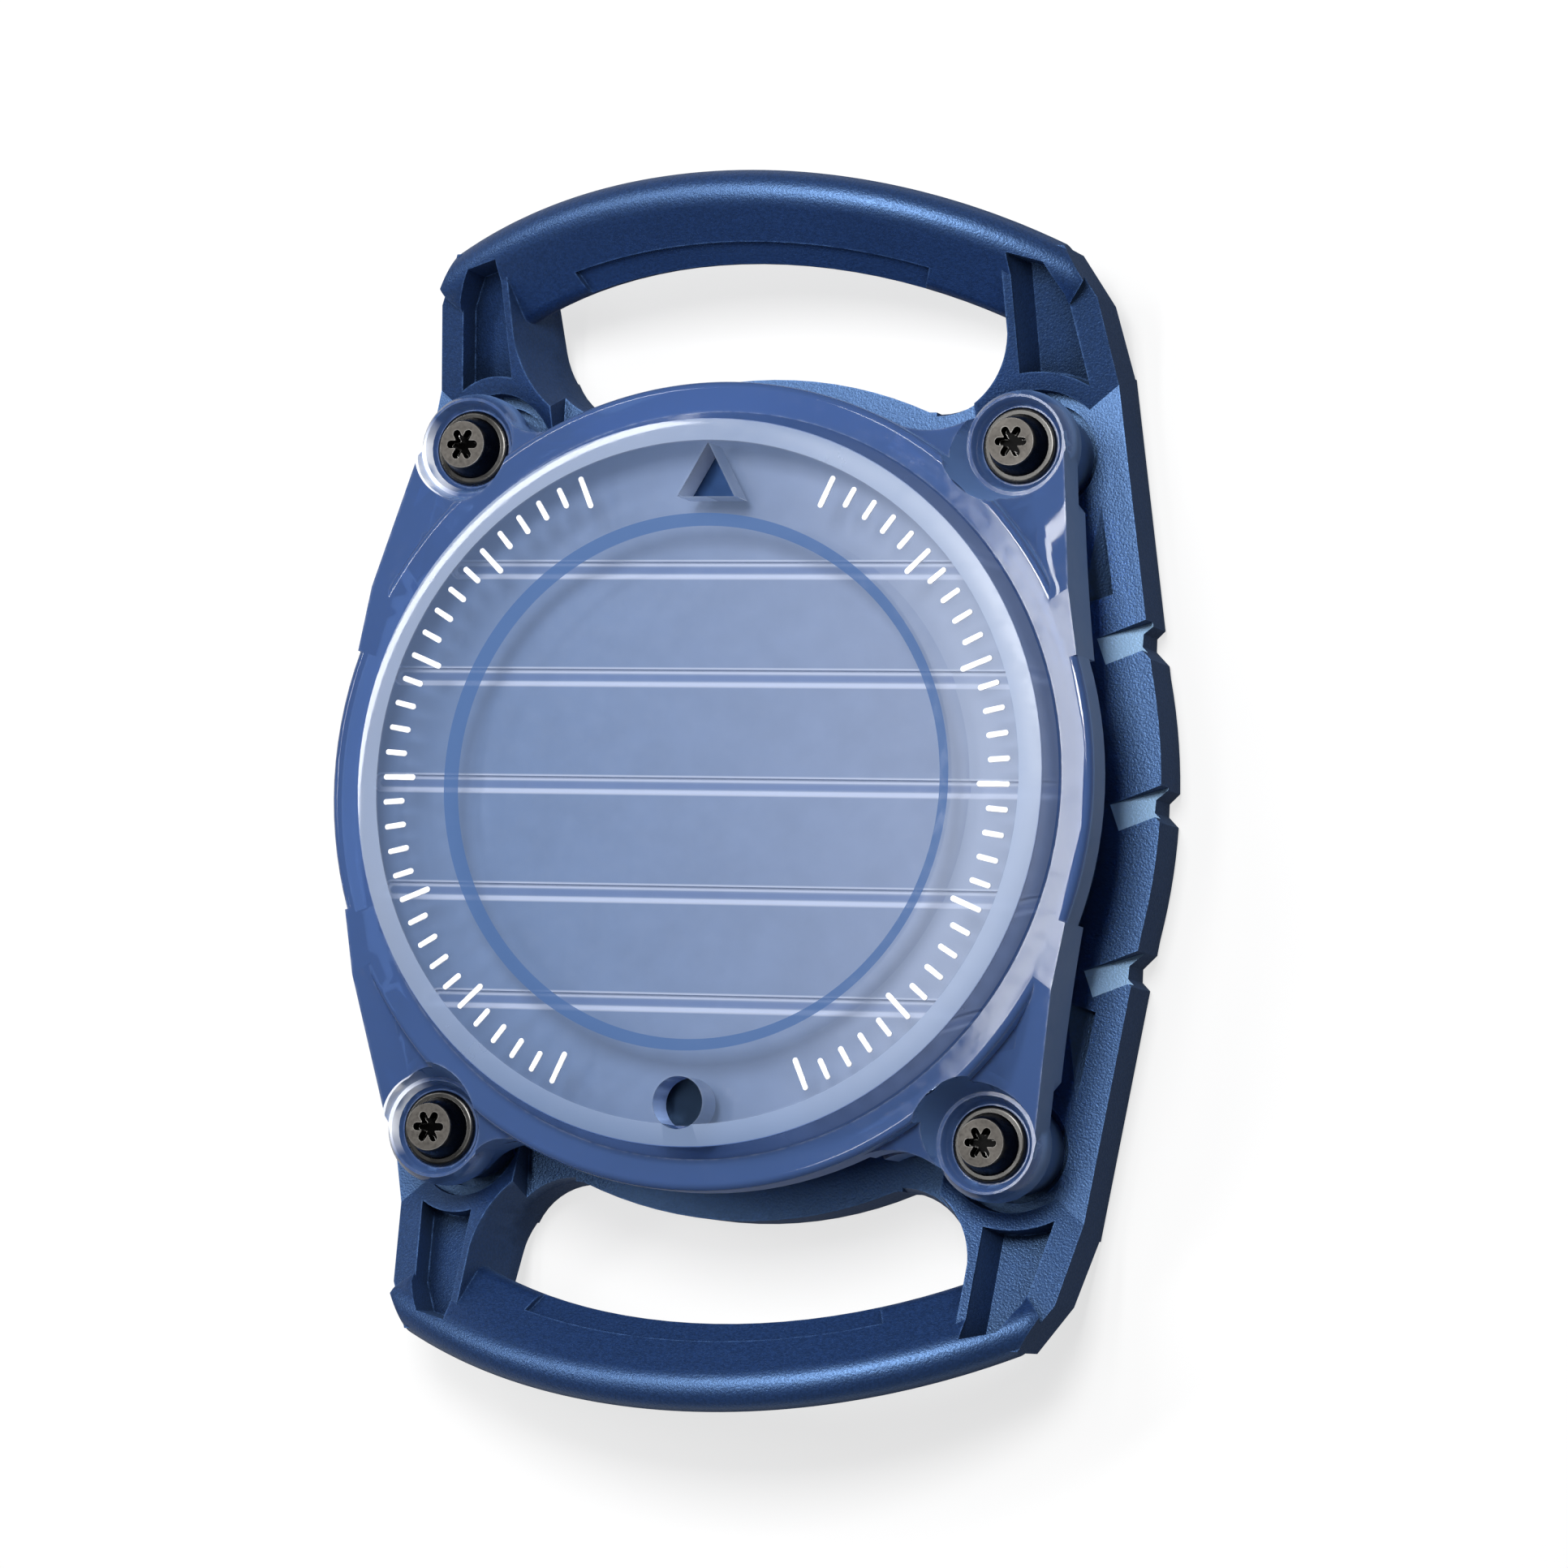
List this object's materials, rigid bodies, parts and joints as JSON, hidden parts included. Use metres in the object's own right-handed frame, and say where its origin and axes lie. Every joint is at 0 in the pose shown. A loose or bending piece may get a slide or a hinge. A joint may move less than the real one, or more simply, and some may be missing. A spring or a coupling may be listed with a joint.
{
  "type": "tracker tag holder",
  "caption": "Waterproof case for a coin-shaped tracker: round screw-down cover on a plate with curled strap loops at both ends.",
  "frame": {"origin": "middle of the flat round back, in the plane of the back", "axes": "+Z out through the cover, +Y along the strap towards the triangle mark, +X to the right of it"},
  "size_m": [0.0522, 0.0756, 0.0151],
  "materials": {
    "frame_navy": "fine satin grain",
    "cover_blue": "polished, slightly translucent",
    "seal_rubber": "matt",
    "pad_rubber": "matt foam rubber",
    "insert_brass": "turned",
    "screw_steel": "dark zinc"
  },
  "bodies": {
    "holder": {"frame": "frame_navy", "sealing_ring": "seal_rubber", "cushion_pad": "pad_rubber", "insert_upper_right": "insert_brass", "insert_upper_left": "insert_brass", "insert_lower_right": "insert_brass", "insert_lower_left": "insert_brass"},
    "lid": {"cover": "cover_blue"},
    "screw_upper_right": {"screw_upper_right": "screw_steel"},
    "screw_upper_left": {"screw_upper_left": "screw_steel"},
    "screw_lower_right": {"screw_lower_right": "screw_steel"},
    "screw_lower_left": {"screw_lower_left": "screw_steel"}
  },
  "joints": [
    {"name": "cover_lift", "type": "slide", "parent": "holder", "child": "lid", "axis": [0, 0, 1], "range_m": [0, 0.02]},
    {"name": "screw_turn_upper_right", "type": "hinge", "parent": "lid", "child": "screw_upper_right", "pos_m": [0.01788, 0.02109, 0.0079], "axis": [0, 0, 1], "continuous": true},
    {"name": "screw_turn_upper_left", "type": "hinge", "parent": "lid", "child": "screw_upper_left", "pos_m": [-0.01788, 0.02109, 0.0079], "axis": [0, 0, 1], "continuous": true},
    {"name": "screw_turn_lower_right", "type": "hinge", "parent": "lid", "child": "screw_lower_right", "pos_m": [0.01788, -0.02109, 0.0079], "axis": [0, 0, 1], "continuous": true},
    {"name": "screw_turn_lower_left", "type": "hinge", "parent": "lid", "child": "screw_lower_left", "pos_m": [-0.01788, -0.02109, 0.0079], "axis": [0, 0, 1], "continuous": true}
  ]
}
